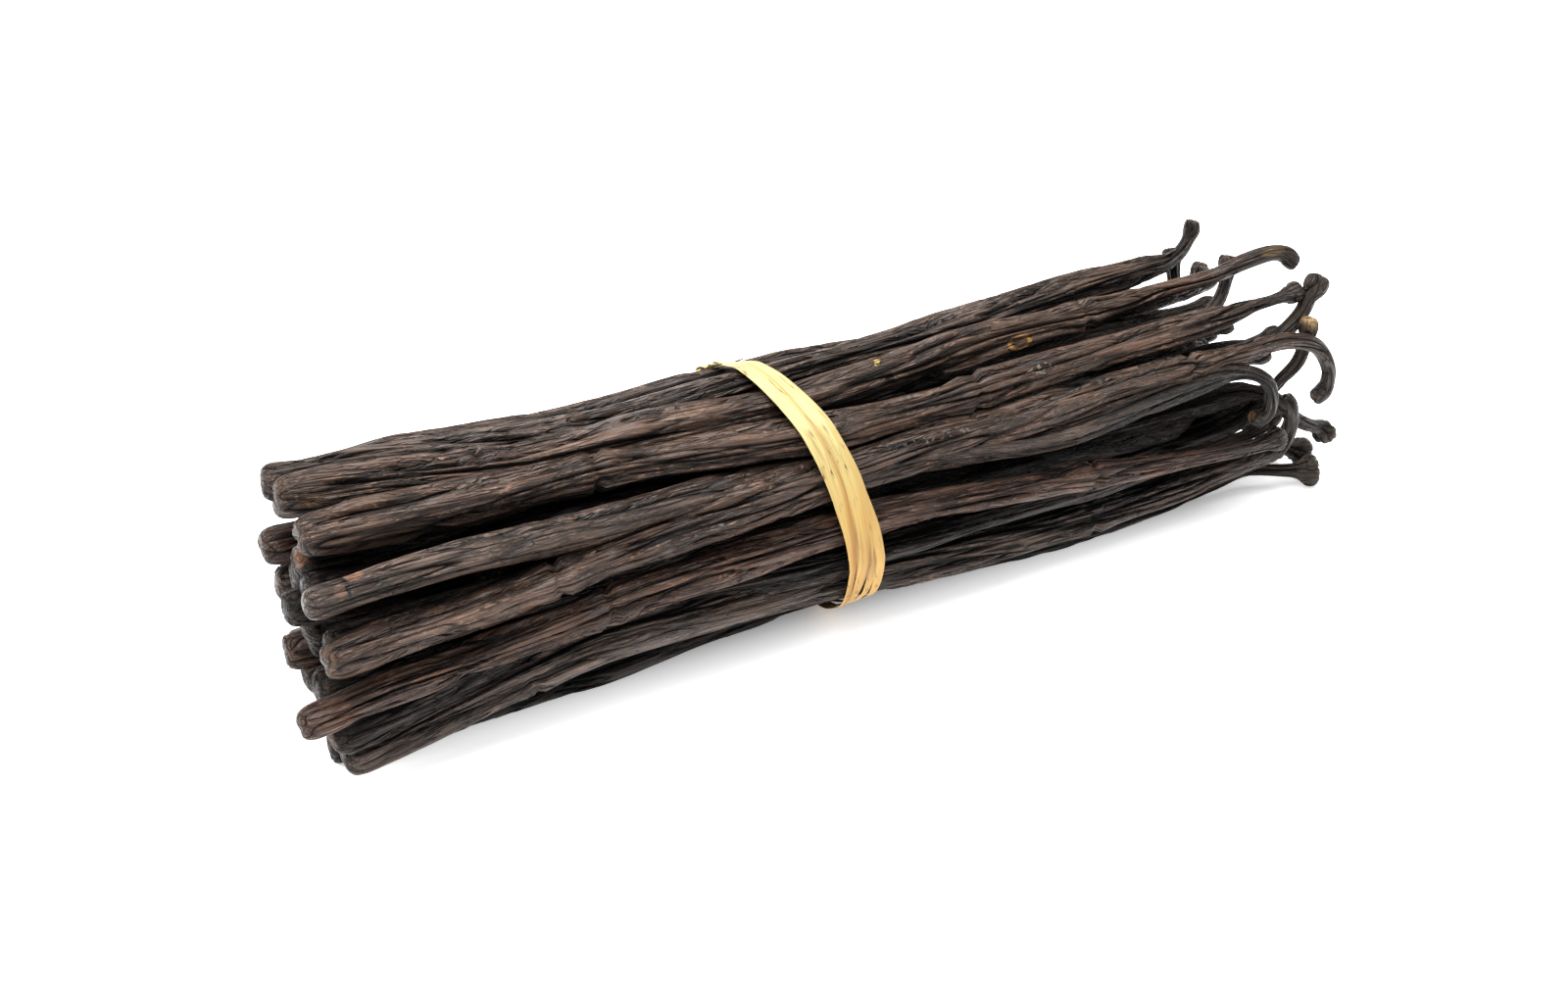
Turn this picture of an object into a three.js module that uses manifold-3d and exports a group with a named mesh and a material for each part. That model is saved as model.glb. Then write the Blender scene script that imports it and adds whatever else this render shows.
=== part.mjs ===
// A tied bundle of cured vanilla pods, lying on its side.
//
// Millimetres, +Z up. +X runs along the bundle from the pods' blunt tips to their thin stalks.
// The origin is on the surface that the bundle lies on, under the middle of its bounding box.
//
// The pods lie in rings round the bundle's axis and are held by one strap of raffia. Each pod is a
// tapered rod: it is turned straight on its own axis, then bent along a smooth route. A place round
// the axis is given as a clock angle in degrees: 0 faces -Y, 90 is the top, -90 the underside.
// The pods and the packed inside of the bundle are one solid; the strap is a second, just clear of it.

import * as THREE from "three";
import { mergeVertices } from "three/addons/utils/BufferGeometryUtils.js";
import Module from "manifold-3d";

// ---- Driving dimensions ----

// Where the bundle's axis stands over the origin. Along the bundle, x = 0 is near its middle.
const AXIS = { x: -3.1, y: 0.2, height: 22 };
const STRAP_X = -1.3;

// Radius of the circle round all the pods, at places along the bundle.
const BUNDLE_RADIUS = [[-90, 24.0], [-70, 23.3], [-45, 21.2], [-20, 20.4], [2, 20.3], [40, 20.1], [60, 19.6], [80, 19.0]];

// A pod's route passes five stations: tip, halfway to the strap, strap, halfway to the neck, neck.
// The inner pods' distance from the axis at those stations, and the innermost two pods'.
const INNER_RING = [12.0, 10.4, 9.4, 9.6, 10.0];
const INNERMOST_RING = [4.5, 3.2, 2.4, 2.6, 3.0];

// How much of a pod's radius fits under its centre at each station, where it lies on the surface.
const REST_SHARE = [0.72, 0.85, 1, 0.72, 0.6];

// Share of a pod's full radius, by distance from its tip: a blunt tip, a long even body, a slow taper.
const BODY_TAPER = [[0, 0.48], [0.5, 0.76], [1.5, 0.92], [3.2, 1], [6, 0.96], [10, 1], [70, 1], [110, 0.88], [135, 0.72], [220, 0.6]];
const STALK_RADIUS = 1.05;
const KNOB_LENGTH = 3.6;

// Sides round a pod, and the spacing of its rings.
const POD_SIDES = 8;
const TIP_RINGS = [0.7, 3, 8];
const BODY_STEP = 15;
const NECK_STEP = 6.5;
const STALK_STEP = 3.6;
const KNOB_RINGS = [2, 0.6];
const FRAME_STEPS = 240;

// The packed inside of the bundle: its radius along the bundle, less than the outer pods reach.
const INSIDE_RADIUS = [[-66, 8], [-58, 14.5], [-42, 16], [0, 15.6], [30, 14.8], [46, 11.5], [56, 6]];
const INSIDE_SIDES = 24;

// A block that takes in all that would sink into the surface.
const BELOW = { length: 240, width: 80, depth: 10 };

// The strap: a flat ribbon of raffia round the pods, leaning, and gathered narrower behind.
const STRAP = { inner: 20.6, outer: 21.2, width: 6.4, lean: 12.3, leanClock: -46, gathered: 0.6 };
const STRAP_SEGMENTS = 64;
// The flat knot that closes it, behind, given as half its length along the bundle, height and thickness.
const KNOT = { clock: 152, centre: 22.1, length: 4.2, height: 2.6, thickness: 1.35, sides: 12, rings: 8 };

const POD_COLOUR = 0x5f544e;
const STRAP_COLOUR = 0xf3e2a6;

// ---- The pods ----

// tip, neck: where the tip and the neck are along the bundle. radius: the pod's full radius.
// clock: the clock angle, one for all stations or one for each. out: how far the route stands
// outside (+) or inside (-) its ring. slim: the share of the radius left at the tip's end of the pod.
// stalk: points that the stalk passes, from the neck. thin: how much of the stalk is at its thinnest.
// flare: over how much of the pod the stalk then widens to the body.
const STRAIGHT_STALK = [[8, 0, 1], [14, -2, 3]];
const POD = { ring: "outer", radius: 3.2, out: [0, 0, 0, 0, 0], slim: 1, stalk: STRAIGHT_STALK, thin: 12, knob: 1.7 };
const FLARE = { outer: 26, inner: 16, innermost: 16 };

const PODS = [
  // the outer ring, over the top and down the front
  { name: "a", clock: [124, 107, 107, 112, 125], tip: -83.5, neck: 68, radius: 3.1, out: [1.2, 0, 0, 0.4, 2.2],
    stalk: [[6.4, 0.3, 0], [9, 0.7, 1], [10.9, 1.3, 3], [12, 2, 5.4]], thin: 3, flare: 14, knob: 1.3 },
  { name: "b", clock: [101, 86, 83, 89, 97], tip: -84, neck: 68, radius: 3.1,
    stalk: [[9.5, 0, 0.4], [15, 0, 1.5], [19.8, -0.5, 2.2], [22.4, -1, 1.6], [24.2, -2, -0.3]], thin: 14, knob: 1.3 },
  { name: "c", clock: [71, 72, 61, 61, 66], tip: -84.5, neck: 72, radius: 3.1,
    stalk: [[4, 0.4, 0], [8, 1, -0.4], [12.4, 1.6, -1.2], [18.6, 2.6, -1.6]], thin: 6.5, flare: 9, knob: 1.8 },
  { name: "d", clock: [43, 43, 41, 24, 30], tip: -87, neck: 73, radius: 2.7, out: [0, 0, -2.7, 0, -1.2],
    stalk: [[4.4, -1.4, -1.4], [6.2, -1.5, -5.2], [6.2, -1, -8.6], [4.6, -1, -9.6], [3.2, -1, -8.6]],
    thin: 13, flare: 11, knob: 1.2 },
  { name: "e", clock: [16, 25, 34, 38, 41], tip: -86, neck: 76, radius: 3.2, slim: 0.86,
    stalk: [[8.5, 0.2, -1], [13.6, 0.2, -3.6], [16, 0, -8.6], [15.2, -0.4, -12], [13.2, -0.8, -12.8]], thin: 18, knob: 1.4 },
  { name: "f", clock: [-9, 3, 7, 0, -22], tip: -91, neck: 74, radius: 2.55, stalk: [[5, 1, -1], [9, 2, -1.5]] },
  { name: "h", clock: [-28, -18, -14, -12, -24], tip: -85.5, neck: 72, radius: 2.8, out: [-0.5, -4.2, -0.8, -0.8, -1.5],
    stalk: [[6, 1, 0], [11, 2, 2]] },
  { name: "g", clock: [-48, -25, -36, -50, -50], tip: -83, neck: 78, radius: 3.6, out: [1.6, 0, 0, 1.6, 1.6], slim: 0.9,
    stalk: [[5.2, 0, 0.4], [7.8, 0, 2.6], [8.8, 0, 5.5], [8.4, 0, 8.5], [7.5, 1, 10.6]], thin: 3, flare: 18, knob: 1.3 },
  // the outer ring, underneath and up the back
  { name: "i", clock: [-72, -64, -66, -72, -74], tip: -82.5, neck: 76, out: [1.9, 1.6, 0, 3.8, 4.9],
    stalk: [[6, 0, 0.5], [12, -2.4, 0.3], [17.3, -4.5, 0]], thin: 17, knob: 2.3 },
  { name: "j", clock: -91, tip: -80, neck: 74, out: [0, 1, 0, 3, 4.1], stalk: [[6, -1, 0], [12, -2, 1], [17, -3, 0.5]] },
  { name: "k", clock: [-130, -118, -113, -113, -112], tip: -82, neck: 72, out: [0, 0, 0, 4.5, 5.6] },
  { name: "l", clock: [-117, -121, -134, -137, -137], tip: -80, neck: 72, out: [3, 1.8, 0.2, 0, 0] },
  { name: "m", clock: -160, tip: -80.5, neck: 72 },
  { name: "n", clock: [-180, -184, -184, -186, -192], tip: -82, neck: 72,
    stalk: [[8, 1, 0], [12, 1, 0.5], [16, 2, 1]], thin: 8, flare: 20, knob: 1.5 },
  { name: "o", clock: -207, tip: -80, neck: 70, stalk: [[8.2, 0, -2.5], [11.5, 0, -2], [13, 0, 3]], knob: 1.5 },
  { name: "z", clock: -228, tip: -79, neck: 70, out: [0, 0, 0, -1.5, -3.2], stalk: [[5, 1, 0], [6, 3, 2.8], [6.4, 5, 6]], knob: 1.5 },
  // the inner ring
  { name: "p", ring: "inner", clock: [76, 80, 82, 86, 88], tip: -84, neck: 72, out: [1, 0, 0, 0, 0],
    stalk: [[5, 2, 0], [8.8, 4, 3], [10.4, 6, 7]], knob: 1.5 },
  { name: "q", ring: "inner", clock: [58, 55, 48, 46, 45], tip: -84, neck: 76,
    stalk: [[5, -0.5, 0], [9.6, 0.5, 1], [13.4, 1.5, 3.2], [15.8, 2.5, 5.8], [18, 3.5, 8]], thin: 14, knob: 1.9 },
  { name: "r", ring: "inner", clock: [10, 10, 4, 4, 4], tip: -83, neck: 76,
    stalk: [[5, -1, -0.5], [8.6, 0, 0.8], [11.4, 0, 3.2], [12.9, 0.4, 7], [13.6, 0.8, 10.4]],
    thin: 14, flare: 10, knob: 1.4 },
  { name: "s", ring: "inner", clock: [-25, -30, -38, -40, -38], tip: -85, neck: 76,
    stalk: [[6, -1, 3.4], [9, -2, 1.4], [12.2, -1.5, -2.4], [15.6, -1, -5], [18, 0, -6.5], [20.2, 0, -9.2]],
    thin: 14, flare: 10, knob: 1.8 },
  { name: "t", ring: "inner", clock: [-78, -78, -78, -70, -66], tip: -82, neck: 80,
    stalk: [[5, -1, -4], [10, -1, -8], [14.5, -0.6, -10]], thin: 10, knob: 2 },
  { name: "u", ring: "inner", clock: -126, tip: -80, neck: 72 },
  { name: "v", ring: "inner", clock: -172, tip: -80, neck: 72 },
  { name: "w", ring: "inner", clock: 140, tip: -78, neck: 72, stalk: [[6, 0, 0], [10, 0, 0]], thin: 5, knob: 1.5 },
  // the innermost two
  { name: "x", ring: "innermost", clock: 60, tip: -86, neck: 74, radius: 3 },
  { name: "y", ring: "innermost", clock: -120, tip: -82, neck: 74, radius: 3 },
].map((pod) => ({ ...POD, flare: FLARE[pod.ring ?? POD.ring], ...pod }));

// ---- Helpers ----

const radians = THREE.MathUtils.degToRad;
const wasm = await Module();
wasm.setup();

// The value at x of a line of straight steps through [x, value] pairs.
function along(steps, x) {
  const next = steps.findIndex(([at]) => at >= x);
  if (next === 0) return steps[0][1];
  if (next < 0) return steps[steps.length - 1][1];
  const [x0, v0] = steps[next - 1];
  const [x1, v1] = steps[next];
  return v0 + ((v1 - v0) * (x - x0)) / (x1 - x0);
}

// A point beside the axis, from its place along the bundle, distance from the axis and clock angle.
function aroundAxis(x, distance, clock) {
  const angle = radians(clock);
  return new THREE.Vector3(x, -distance * Math.cos(angle), distance * Math.sin(angle));
}

// A closed solid from a geometry: shared corners merged, and triangles with no area left out.
function toSolid(geometry) {
  geometry.deleteAttribute("normal");
  geometry.deleteAttribute("uv");
  const merged = mergeVertices(geometry, 1e-4);
  const corners = merged.index.array;
  const triangles = [];
  for (let i = 0; i < corners.length; i += 3) {
    const [a, b, c] = [corners[i], corners[i + 1], corners[i + 2]];
    if (a !== b && b !== c && c !== a) triangles.push(a, b, c);
  }
  const mesh = new wasm.Mesh({
    numProp: 3,
    vertProperties: new Float32Array(merged.attributes.position.array),
    triVerts: new Uint32Array(triangles),
  });
  return new wasm.Manifold(mesh);
}

// The geometry of a solid, with its thinnest slivers of triangles merged away.
function toGeometry(solid) {
  const mesh = solid.simplify(0.02).getMesh();
  const geometry = new THREE.BufferGeometry();
  geometry.setAttribute("position", new THREE.BufferAttribute(mesh.vertProperties, 3));
  geometry.setIndex(new THREE.BufferAttribute(mesh.triVerts, 1));
  geometry.computeVertexNormals();
  return geometry;
}

// ---- A pod ----

function ringDistance(pod, x, station) {
  if (pod.ring === "inner") return INNER_RING[station];
  if (pod.ring === "innermost") return INNERMOST_RING[station];
  return along(BUNDLE_RADIUS, x) - pod.radius;
}

// The middle line of a pod, from tip to stalk, resting on the surface where it would sink into it.
function podRoute(pod) {
  const stations = [pod.tip, (pod.tip + STRAP_X) / 2, STRAP_X, (pod.neck + STRAP_X) / 2, pod.neck];
  const points = stations.map((x, station) => {
    const clock = Array.isArray(pod.clock) ? pod.clock[station] : pod.clock;
    const point = aroundAxis(x, ringDistance(pod, x, station) + pod.out[station], clock);
    point.z = Math.max(point.z, pod.radius * REST_SHARE[station] - AXIS.height);
    return point;
  });
  const neck = points[points.length - 1];
  for (const [dx, dy, dz] of pod.stalk) {
    const point = new THREE.Vector3(neck.x + dx, neck.y + dy, neck.z + dz);
    point.z = Math.max(point.z, 0.9 * pod.knob - AXIS.height);
    points.push(point);
  }
  return new THREE.CatmullRomCurve3(points, false, "centripetal");
}

// A pod's radius at a distance from its tip, on a pod of a given length.
function podRadius(pod, distance, length) {
  const toEnd = length - distance;
  const slim = pod.slim + (1 - pod.slim) * THREE.MathUtils.smoothstep(distance, 20, 60);
  const body = pod.radius * along(BODY_TAPER, distance) * slim;
  const flare = THREE.MathUtils.smoothstep(toEnd, pod.thin, pod.thin + pod.flare);
  const stalk = THREE.MathUtils.lerp(STALK_RADIUS, body, flare);
  const knob = [[0, 0.72 * pod.knob], [0.5, 0.98 * pod.knob], [1.5, 1.1 * pod.knob], [2.5, pod.knob], [KNOB_LENGTH, STALK_RADIUS]];
  return toEnd < KNOB_LENGTH ? Math.max(stalk, along(knob, toEnd)) : stalk;
}

// Distances from the tip at which a pod has a ring of corners.
function ringPlaces(pod, length) {
  const neckStart = length - pod.thin - pod.flare;
  const stalkStart = length - pod.thin;
  const places = [...TIP_RINGS];
  const fill = (from, to, step) => {
    const count = Math.max(1, Math.round((to - from) / step));
    for (let i = 1; i <= count; i++) places.push(from + ((to - from) * i) / count);
  };
  fill(TIP_RINGS[TIP_RINGS.length - 1], neckStart, BODY_STEP);
  fill(neckStart, stalkStart, NECK_STEP);
  fill(stalkStart, length - KNOB_LENGTH, STALK_STEP);
  return [...places, ...KNOB_RINGS.map((toEnd) => length - toEnd)];
}

// A straight rod with the pod's profile, turned about +Y, whose rings are then carried to the route.
function podSolid(pod) {
  const route = podRoute(pod);
  const length = route.getLength();
  const profile = ringPlaces(pod, length).map((d) => new THREE.Vector2(podRadius(pod, d, length), d));
  profile.unshift(new THREE.Vector2(0, 0));
  profile.push(new THREE.Vector2(0, length));
  const geometry = new THREE.LatheGeometry(profile, POD_SIDES);

  const frames = route.computeFrenetFrames(FRAME_STEPS);
  const position = geometry.attributes.position;
  for (let i = 0; i < position.count; i++) {
    const share = THREE.MathUtils.clamp(position.getY(i) / length, 0, 1);
    const frame = Math.round(share * FRAME_STEPS);
    const corner = route.getPointAt(share);
    corner.addScaledVector(frames.binormals[frame], position.getX(i));
    corner.addScaledVector(frames.normals[frame], position.getZ(i));
    position.setXYZ(i, corner.x, corner.y, corner.z);
  }
  return toSolid(geometry);
}

// ---- The packed inside of the bundle ----

function insideSolid() {
  const profile = INSIDE_RADIUS.map(([x, radius]) => new THREE.Vector2(radius, x));
  profile.unshift(new THREE.Vector2(0, INSIDE_RADIUS[0][0]));
  profile.push(new THREE.Vector2(0, INSIDE_RADIUS[INSIDE_RADIUS.length - 1][0]));
  const geometry = new THREE.LatheGeometry(profile, INSIDE_SIDES);
  geometry.rotateZ(-Math.PI / 2);
  return toSolid(geometry);
}

// What is below the surface that the bundle lies on: the pods there press flat against it.
function belowSurface() {
  const block = new THREE.BoxGeometry(BELOW.length, BELOW.width, BELOW.depth);
  block.translate(0, 0, -AXIS.height - BELOW.depth / 2);
  return toSolid(block);
}

// All pods joined to the inside. The largest piece is kept whole, so gaps that the join seals are filled.
function bundleSolid() {
  const joined = wasm.Manifold.union([insideSolid(), ...PODS.map(podSolid)]).subtract(belowSurface());
  return joined.decompose().reduce((best, piece) => (piece.volume() > best.volume() ? piece : best));
}

// ---- The strap ----

// How far the leaning strap is from its middle plane at a clock angle.
function strapLean(distance, clock) {
  return distance * Math.tan(radians(STRAP.lean)) * Math.cos(radians(clock - STRAP.leanClock));
}

// The strap's share of its full width: full over the front, gathered towards the knot.
function strapWidthShare(clock) {
  const fromKnot = Math.abs(THREE.MathUtils.euclideanModulo(clock - KNOT.clock + 180, 360) - 180);
  return THREE.MathUtils.lerp(STRAP.gathered, 1, THREE.MathUtils.smoothstep(fromKnot, 20, 72));
}

function strapSolid() {
  const half = STRAP.width / 2;
  const section = [[STRAP.inner, -half], [STRAP.outer, -half], [STRAP.outer, half], [STRAP.inner, half], [STRAP.inner, -half]];
  const ring = new THREE.LatheGeometry(section.map(([r, y]) => new THREE.Vector2(r, y)), STRAP_SEGMENTS);
  const position = ring.attributes.position;
  for (let i = 0; i < position.count; i++) {
    const [across, y, z] = [position.getY(i), position.getZ(i), position.getX(i)];
    const clock = THREE.MathUtils.radToDeg(Math.atan2(z, -y));
    const x = STRAP_X + across * strapWidthShare(clock) + strapLean(Math.hypot(y, z), clock);
    position.setXYZ(i, x, y, z);
  }

  const knot = new THREE.SphereGeometry(1, KNOT.sides, KNOT.rings);
  knot.scale(KNOT.length, KNOT.thickness, KNOT.height);
  knot.rotateX(radians(180 - KNOT.clock));
  const place = aroundAxis(STRAP_X + strapLean(KNOT.centre, KNOT.clock), KNOT.centre, KNOT.clock);
  knot.translate(place.x, place.y, place.z);
  return toSolid(ring).add(toSolid(knot));
}

// ---- The finished part ----

const bundle = new THREE.Group();
bundle.position.set(AXIS.x, AXIS.y, AXIS.height);

const podMaterial = new THREE.MeshStandardMaterial({ color: POD_COLOUR, roughness: 0.6, metalness: 0 });
const pods = new THREE.Mesh(toGeometry(bundleSolid()), podMaterial);
pods.name = "vanilla_pods";
bundle.add(pods);

const strapMaterial = new THREE.MeshStandardMaterial({ color: STRAP_COLOUR, roughness: 0.55, metalness: 0 });
const strap = new THREE.Mesh(toGeometry(strapSolid()), strapMaterial);
strap.name = "raffia_tie";
bundle.add(strap);

export default bundle;
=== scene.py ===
# %% [markdown]
# # A bundle of vanilla pods
#
# Twenty-six cured vanilla pods lie side by side, held round the middle by a strap of raffia. The packed
# model already has the right size and place, as one plain solid. This lesson gives it its looks: every pod
# is drawn out as a rod of its own, wrinkled, and bent along its route, and the strap is laid round them in
# strands. Everything is in metres. +X runs from the pods' blunt tips to their stalks, and +Z is up.

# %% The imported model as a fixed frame
import math

import bpy
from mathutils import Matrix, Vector
from mathutils.geometry import convex_hull_2d


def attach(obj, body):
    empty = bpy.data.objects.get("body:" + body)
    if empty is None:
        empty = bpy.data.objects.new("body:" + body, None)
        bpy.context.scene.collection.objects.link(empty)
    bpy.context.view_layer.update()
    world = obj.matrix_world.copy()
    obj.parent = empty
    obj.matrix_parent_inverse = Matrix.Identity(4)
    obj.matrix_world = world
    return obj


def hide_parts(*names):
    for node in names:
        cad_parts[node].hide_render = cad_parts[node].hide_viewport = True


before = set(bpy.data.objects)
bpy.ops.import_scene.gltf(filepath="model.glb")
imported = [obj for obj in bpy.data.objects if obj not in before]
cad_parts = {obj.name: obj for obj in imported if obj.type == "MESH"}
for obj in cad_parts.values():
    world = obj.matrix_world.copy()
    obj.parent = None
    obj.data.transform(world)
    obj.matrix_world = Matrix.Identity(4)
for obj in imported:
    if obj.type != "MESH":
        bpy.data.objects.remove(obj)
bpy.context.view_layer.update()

MM = 0.001

# %% [markdown]
# ## Camera, light and floor
#
# The camera looks down on the bundle from its front left. A long lens far away keeps the pods nearly
# parallel. A camera needs a place and a direction: the direction comes from two angles, and the place is a
# distance back along it, so both are easy to change.

# %% The camera
AZIMUTH, ELEVATION = math.radians(-26), math.radians(35)
DISTANCE = 0.6
LOOK_AT = Vector((-4.5, 1.0, 20.1)) * MM

back = Vector((math.sin(AZIMUTH) * math.cos(ELEVATION), -math.cos(AZIMUTH) * math.cos(ELEVATION),
               math.sin(ELEVATION)))
bpy.ops.object.camera_add(location=LOOK_AT + back * DISTANCE)
camera = bpy.context.object
camera.rotation_euler = (-back).to_track_quat("-Z", "Y").to_euler()
camera.data.sensor_width = 36
camera.data.lens = 86.7
camera.data.clip_start = 0.01
bpy.context.scene.camera = camera
print("camera at", tuple(round(v, 3) for v in camera.location), "m, lens", camera.data.lens, "mm")

# %% [markdown]
# Food looks best in soft light from all round, with one larger light from above. The world gives the even
# part. One square lamp, high above the bundle, gives the pods their lit tops and dark gaps.

# %% World light and lamp
scene = bpy.context.scene
scene.view_settings.view_transform = "Standard"
world = bpy.data.worlds.new("soft studio")
scene.world = world
world.use_nodes = True
world.node_tree.nodes["Background"].inputs["Color"].default_value = (1, 1, 1, 1)
world.node_tree.nodes["Background"].inputs["Strength"].default_value = 0.34

LAMP_PLACE = Vector((-0.1, 0.22, 1.12))
bpy.ops.object.light_add(type="AREA", location=LAMP_PLACE)
lamp = bpy.context.object
lamp.rotation_euler = (-LAMP_PLACE).to_track_quat("-Z", "Y").to_euler()
lamp.data.size = 1.6
lamp.data.energy = 62
print("lamp", round(LAMP_PLACE.length, 2), "m away,", lamp.data.energy, "W")

# %% [markdown]
# The floor is a plain pale sheet, far larger than the view. It glows, like a light table, and this glow is
# painted light. It is weaker under the bundle and right beside it, which paints a short pale shadow there.
# Plain white paint would stay grey under this light, and an even glow would wash the shadow out.
#
# A material is a tree of nodes. These helpers place nodes in the tree that is on the bench, so that a
# formula reads almost as it would be written by hand. The wrinkles further down use them too.

# %% Short ways to place nodes
bench = None


def on_bench(tree):
    """Takes a tree as the one that the helpers place their nodes in."""
    global bench
    bench = tree
    return tree


def new_node(kind, **settings):
    node = bench.nodes.new(kind)
    for setting, value in settings.items():
        setattr(node, setting, value)
    return node


def put(socket, value):
    """Links a socket, or sets a plain value."""
    if isinstance(value, bpy.types.NodeSocket):
        bench.links.new(value, socket)
    else:
        socket.default_value = value


def number(operation, *values, clamp=False):
    node = new_node("ShaderNodeMath", operation=operation, use_clamp=clamp)
    for socket, value in zip(node.inputs, values):
        put(socket, value)
    return node.outputs[0]


def chain(operation, first, *others):
    """One Math node for each further value, as in a product or a sum of several."""
    for other in others:
        first = number(operation, first, other)
    return first


def ramp(value, low, high, to_low=0.0, to_high=1.0):
    """A smooth step of a value from one range to another."""
    node = new_node("ShaderNodeMapRange", interpolation_type="SMOOTHSTEP")
    for socket, given in zip(node.inputs, (value, low, high, to_low, to_high)):
        put(socket, given)
    return node.outputs[0]


def separate(value):
    """The x, y and z of a vector."""
    node = new_node("ShaderNodeSeparateXYZ")
    put(node.inputs[0], value)
    return node.outputs


def new_material(name):
    """A material, with its tree on the bench, and its shader."""
    material = bpy.data.materials.new(name)
    material.use_nodes = True
    return material, on_bench(material.node_tree).nodes["Principled BSDF"]


# %% The floor
# The floor's glow is painted light, and its weaker glow under and beside the bundle is a painted shadow.
FLOOR_GLOW, GLOW_IN_PAINTED_SHADOW = 0.75, 0.14
PAST_THE_ENDS, PAST_THE_SIDES = (0.072, 0.094), (0.002, 0.0135)  # where the glow comes up, in metres

bpy.ops.mesh.primitive_plane_add(size=6, location=(0, 0, 0))
floor = bpy.context.object
floor.name = "floor"
floor_paint, shader = new_material("pale floor")
shader.inputs["Base Color"].default_value = (0.9, 0.9, 0.9, 1)
shader.inputs["Roughness"].default_value = 0.9
shader.inputs["Specular IOR Level"].default_value = 0.1
shader.inputs["Emission Strength"].default_value = 1.0
place = separate(new_node("ShaderNodeTexCoord").outputs["Object"])
# painted shadow: the glow comes up only past the bundle's ends and sides
outside_painted_shadow = number("MAXIMUM", ramp(number("ABSOLUTE", place[0]), *PAST_THE_ENDS),
                    ramp(number("ABSOLUTE", place[1]), *PAST_THE_SIDES))
glow = number("MULTIPLY_ADD", outside_painted_shadow, FLOOR_GLOW - GLOW_IN_PAINTED_SHADOW, GLOW_IN_PAINTED_SHADOW)
put(shader.inputs["Emission Color"], glow)
floor.data.materials.append(floor_paint)
print("floor", floor.dimensions.x, "m wide")

# %% [markdown]
# ## Where each pod lies
#
# A pod's place round the bundle is a clock angle: 0 faces the front, 90 is the top, -90 the underside. Its
# route passes five stations, from the tip over the strap to the neck, and then the points of its stalk.
# These are the same named values as in the model's own source, in millimetres, so every pod lies where its
# solid lies.

# %% The bundle's axis and rings
AXIS = Vector((-3.1, 0.2, 22))
STRAP_X = -1.3
BUNDLE_RADIUS = [(-90, 24.0), (-70, 23.3), (-45, 21.2), (-20, 20.4), (2, 20.3), (40, 20.1), (60, 19.6),
                 (80, 19.0)]
INNER_RING = [12.0, 10.4, 9.4, 9.6, 10.0]  # from the axis, at each station
INNERMOST_RING = [4.5, 3.2, 2.4, 2.6, 3.0]
REST_SHARE = [0.72, 0.85, 1, 0.72, 0.6]  # a resting pod's height at each station, as a share of its radius
print("bundle", 2 * BUNDLE_RADIUS[4][1], "mm across at the strap")

# %% The pods of the outer ring, over the top and down the front
# A pod has these values unless it says otherwise. "out" is how far it stands out of its ring at each station,
# "slim" the width of its first part, "stalk" the steps of its stalk from the neck, "thin" the stalk's length
# and "flare" that of the neck, "deep" how wrinkled it is, and "cleft" how deep the notch in its tip is.
POD = {"ring": "outer", "radius": 3.2, "out": [0, 0, 0, 0, 0], "slim": 1,
       "stalk": [(8, 0, 1), (14, -2, 3)], "thin": 12, "knob": 1.7, "skin": "brown",
       "knuckles": (-50, -50), "deep": 1, "cleft": 0}
PODS = {
    "a": dict(clock=[124, 107, 107, 112, 125], tip=-83.5, neck=68, radius=3.1, out=[1.2, 0, 0, 0.4, 2.2],
              stalk=[(6.4, 0.3, 0), (9, 0.7, 1), (10.9, 1.3, 3), (12, 2, 5.4)], thin=3, flare=14,
              knob=1.3, skin="grey"),
    "b": dict(clock=[101, 86, 83, 89, 97], tip=-84, neck=68, radius=3.1, knuckles=(31, 137),
              stalk=[(9.5, 0, 0.4), (15, 0, 1.5), (19.8, -0.5, 2.2), (22.4, -1, 1.6), (24.2, -2, -0.3)],
              thin=14, knob=1.3),
    "c": dict(clock=[71, 72, 61, 61, 66], tip=-84.5, neck=72, radius=3.1, knuckles=(48, 112), cleft=1,
              stalk=[(4, 0.4, 0), (8, 1, -0.4), (12.4, 1.6, -1.2), (18.6, 2.6, -1.6)], thin=6.5, flare=9,
              knob=1.8),
    "d": dict(clock=[43, 43, 41, 24, 30], tip=-87, neck=73, radius=2.7, out=[0, 0, -2.7, 0, -1.2],
              skin="grey", deep=0.7, thin=13, flare=11, knob=1.2,
              stalk=[(4.4, -1.4, -1.4), (6.2, -1.5, -5.2), (6.2, -1, -8.6), (4.6, -1, -9.6),
                     (3.2, -1, -8.6)]),
    "e": dict(clock=[16, 25, 34, 38, 41], tip=-86, neck=76, radius=3.2, slim=0.86, knuckles=(38.5, 151),
              cleft=0.6, thin=18, knob=1.4,
              stalk=[(8.5, 0.2, -1), (13.6, 0.2, -3.6), (16, 0, -8.6), (15.2, -0.4, -12),
                     (13.2, -0.8, -12.8)]),
    "f": dict(clock=[-9, 3, 7, 0, -22], tip=-91, neck=74, radius=2.55, stalk=[(5, 1, -1), (9, 2, -1.5)],
              skin="red brown", knuckles=(51, 136), cleft=0.4),
    "h": dict(clock=[-28, -18, -14, -12, -24], tip=-85.5, neck=72, radius=2.8,
              out=[-0.5, -4.2, -0.8, -0.8, -1.5], stalk=[(6, 1, 0), (11, 2, 2)], skin="shaded"),
    "g": dict(clock=[-48, -25, -36, -50, -50], tip=-83, neck=78, radius=3.6, out=[1.6, 0, 0, 1.6, 1.6],
              slim=0.9, thin=3, flare=18, knob=1.3, skin="grey", knuckles=(31, 132), deep=0.7,
              stalk=[(5.2, 0, 0.4), (7.8, 0, 2.6), (8.8, 0, 5.5), (8.4, 0, 8.5), (7.5, 1, 10.6)]),
}
print(len(PODS), "pods face the front")

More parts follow.
